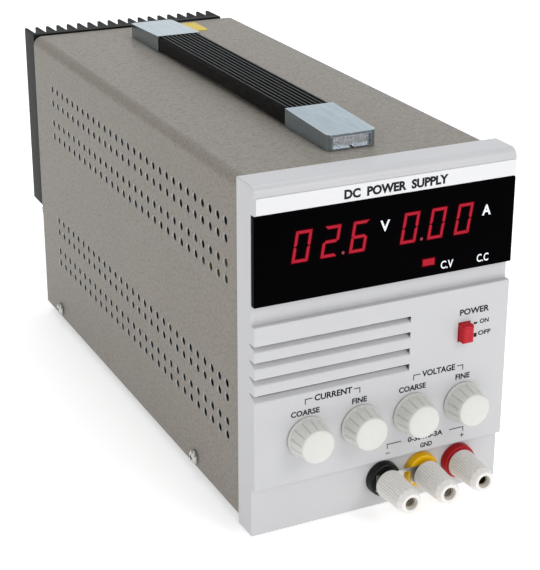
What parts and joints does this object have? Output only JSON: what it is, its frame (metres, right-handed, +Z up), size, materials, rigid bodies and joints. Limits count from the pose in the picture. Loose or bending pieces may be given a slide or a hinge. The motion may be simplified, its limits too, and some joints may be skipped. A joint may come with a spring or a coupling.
{
  "type": "bench power supply",
  "caption": "Bench DC power supply: grey steel case with carrying handle and rear heat sink, digital meter window, control knobs, power button and binding posts.",
  "frame": {"origin": "centre of the bounding box's footprint, on the plane of the rubber feet's undersides", "axes": "+Z up, +Y from the front panel to the rear, +X to the right as seen facing the panel"},
  "size_m": [0.1268, 0.3304, 0.1707],
  "materials": {
    "zinc_steel": "zinc-plated sheet",
    "painted_grey": "semi-gloss warm grey paint, fine orange peel",
    "plated_steel": "bright zinc or nickel plate",
    "rubber": "matt black",
    "panel_plastic": "light grey moulded plastic, satin",
    "smoked_acrylic": "smoked, polished",
    "printed_film": "white printed film",
    "circuit_board": "green solder mask",
    "digit_module": "black face with red segments",
    "red_lamp": "red lens",
    "knob_plastic": "ivory white, satin",
    "pot_body": "plated shell",
    "red_plastic": "red, satin",
    "black_plastic": "black",
    "black_collar": "black",
    "yellow_collar": "yellow",
    "red_collar": "red",
    "brass": "machined",
    "post_plastic": "light grey, ribbed",
    "chrome_cap": "polished",
    "grip_rubber": "black, ribbed",
    "yellow_paper": "blank paper sticker",
    "black_anodised": "black anodised",
    "core_steel": "laminated steel, varnished",
    "winding_tape": "yellow tape",
    "capacitor_sleeve": "blue sleeve"
  },
  "bodies": {
    "case": {"chassis": "zinc_steel", "cover": "painted_grey", "cover_screw_left_front": "plated_steel", "cover_screw_left_rear": "plated_steel", "cover_screw_right_front": "plated_steel", "cover_screw_right_rear": "plated_steel", "ground_link": "plated_steel", "foot_left_front": "rubber", "foot_left_rear": "rubber", "foot_right_front": "rubber", "foot_right_rear": "rubber", "front_bezel": "panel_plastic", "display_window": "smoked_acrylic", "name_strip": "printed_film", "display_board": "circuit_board", "main_board": "circuit_board", "voltage_digits": "digit_module", "current_digits": "digit_module", "cv_led": "red_lamp", "cc_led": "red_lamp", "pot_body_current_coarse": "pot_body", "pot_body_current_fine": "pot_body", "pot_body_voltage_coarse": "pot_body", "pot_body_voltage_fine": "pot_body", "power_switch_body": "black_plastic", "iec_inlet": "black_plastic", "fuse_holder": "black_plastic", "power_transistor_1": "black_plastic", "power_transistor_2": "black_plastic", "post_collar_negative": "black_collar", "post_collar_ground": "yellow_collar", "post_collar_positive": "red_collar", "post_stud_negative": "brass", "post_stud_ground": "brass", "post_stud_positive": "brass", "handle_cap_front": "chrome_cap", "handle_cap_rear": "chrome_cap", "yellow_sticker": "yellow_paper", "heat_sink": "black_anodised", "transformer_core": "core_steel", "transformer_winding": "winding_tape", "filter_capacitor": "capacitor_sleeve"},
    "knob_current_coarse": {"knob_current_coarse": "knob_plastic", "pot_shaft_current_coarse": "plated_steel"},
    "knob_current_fine": {"knob_current_fine": "knob_plastic", "pot_shaft_current_fine": "plated_steel"},
    "knob_voltage_coarse": {"knob_voltage_coarse": "knob_plastic", "pot_shaft_voltage_coarse": "plated_steel"},
    "knob_voltage_fine": {"knob_voltage_fine": "knob_plastic", "pot_shaft_voltage_fine": "plated_steel"},
    "power_button": {"power_button": "red_plastic"},
    "insert_negative": {"post_insert_negative": "brass"},
    "cap_negative": {"post_cap_negative": "post_plastic"},
    "insert_ground": {"post_insert_ground": "brass"},
    "cap_ground": {"post_cap_ground": "post_plastic"},
    "insert_positive": {"post_insert_positive": "brass"},
    "cap_positive": {"post_cap_positive": "post_plastic"},
    "handle": {"handle_grip": "grip_rubber", "handle_strap": "plated_steel"},
    "fuse_cap": {"fuse_cap": "black_plastic"}
  },
  "joints": [
    {"name": "knob_current_coarse_turn", "type": "hinge", "parent": "case", "child": "knob_current_coarse", "pos_m": [-0.0375, -0.1418, 0.0475], "axis": [0, 1, 0], "range_deg": [-150, 150]},
    {"name": "knob_current_fine_turn", "type": "hinge", "parent": "case", "child": "knob_current_fine", "pos_m": [-0.0115, -0.1418, 0.0475], "axis": [0, 1, 0], "range_deg": [-150, 150]},
    {"name": "knob_voltage_coarse_turn", "type": "hinge", "parent": "case", "child": "knob_voltage_coarse", "pos_m": [0.0145, -0.1418, 0.0475], "axis": [0, 1, 0], "range_deg": [-150, 150]},
    {"name": "knob_voltage_fine_turn", "type": "hinge", "parent": "case", "child": "knob_voltage_fine", "pos_m": [0.0405, -0.1418, 0.0475], "axis": [0, 1, 0], "range_deg": [-150, 150]},
    {"name": "power_button_travel", "type": "slide", "parent": "case", "child": "power_button", "axis": [0, -1, 0], "range_m": [-0.0008, 0.003]},
    {"name": "post_negative_travel", "type": "slide", "parent": "case", "child": "insert_negative", "axis": [0, -1, 0], "range_m": [-0.0007, 0.0021]},
    {"name": "post_negative_turn", "type": "hinge", "parent": "insert_negative", "child": "cap_negative", "pos_m": [0.002, -0.1618, 0.0165], "axis": [0, -1, 0], "range_deg": [-360, 1080]},
    {"name": "post_ground_travel", "type": "slide", "parent": "case", "child": "insert_ground", "axis": [0, -1, 0], "range_m": [-0.0007, 0.0021]},
    {"name": "post_ground_turn", "type": "hinge", "parent": "insert_ground", "child": "cap_ground", "pos_m": [0.0215, -0.1618, 0.0165], "axis": [0, -1, 0], "range_deg": [-360, 1080]},
    {"name": "post_positive_travel", "type": "slide", "parent": "case", "child": "insert_positive", "axis": [0, -1, 0], "range_m": [0, 0.0028]},
    {"name": "post_positive_turn", "type": "hinge", "parent": "insert_positive", "child": "cap_positive", "pos_m": [0.041, -0.1618, 0.0165], "axis": [0, -1, 0], "range_deg": [0, 1440]},
    {"name": "handle_lift", "type": "slide", "parent": "case", "child": "handle", "axis": [0, 0, 1], "range_m": [0, 0.003]},
    {"name": "fuse_cap_turn", "type": "hinge", "parent": "case", "child": "fuse_cap", "pos_m": [-0.051, 0.1571, 0.0565], "axis": [0, 1, 0], "range_deg": [0, 90]}
  ],
  "couplings": [
    {"joint": "post_negative_turn", "follows": "post_negative_travel", "rad_per_m": 8976},
    {"joint": "post_ground_turn", "follows": "post_ground_travel", "rad_per_m": 8976},
    {"joint": "post_positive_turn", "follows": "post_positive_travel", "rad_per_m": 8976}
  ]
}
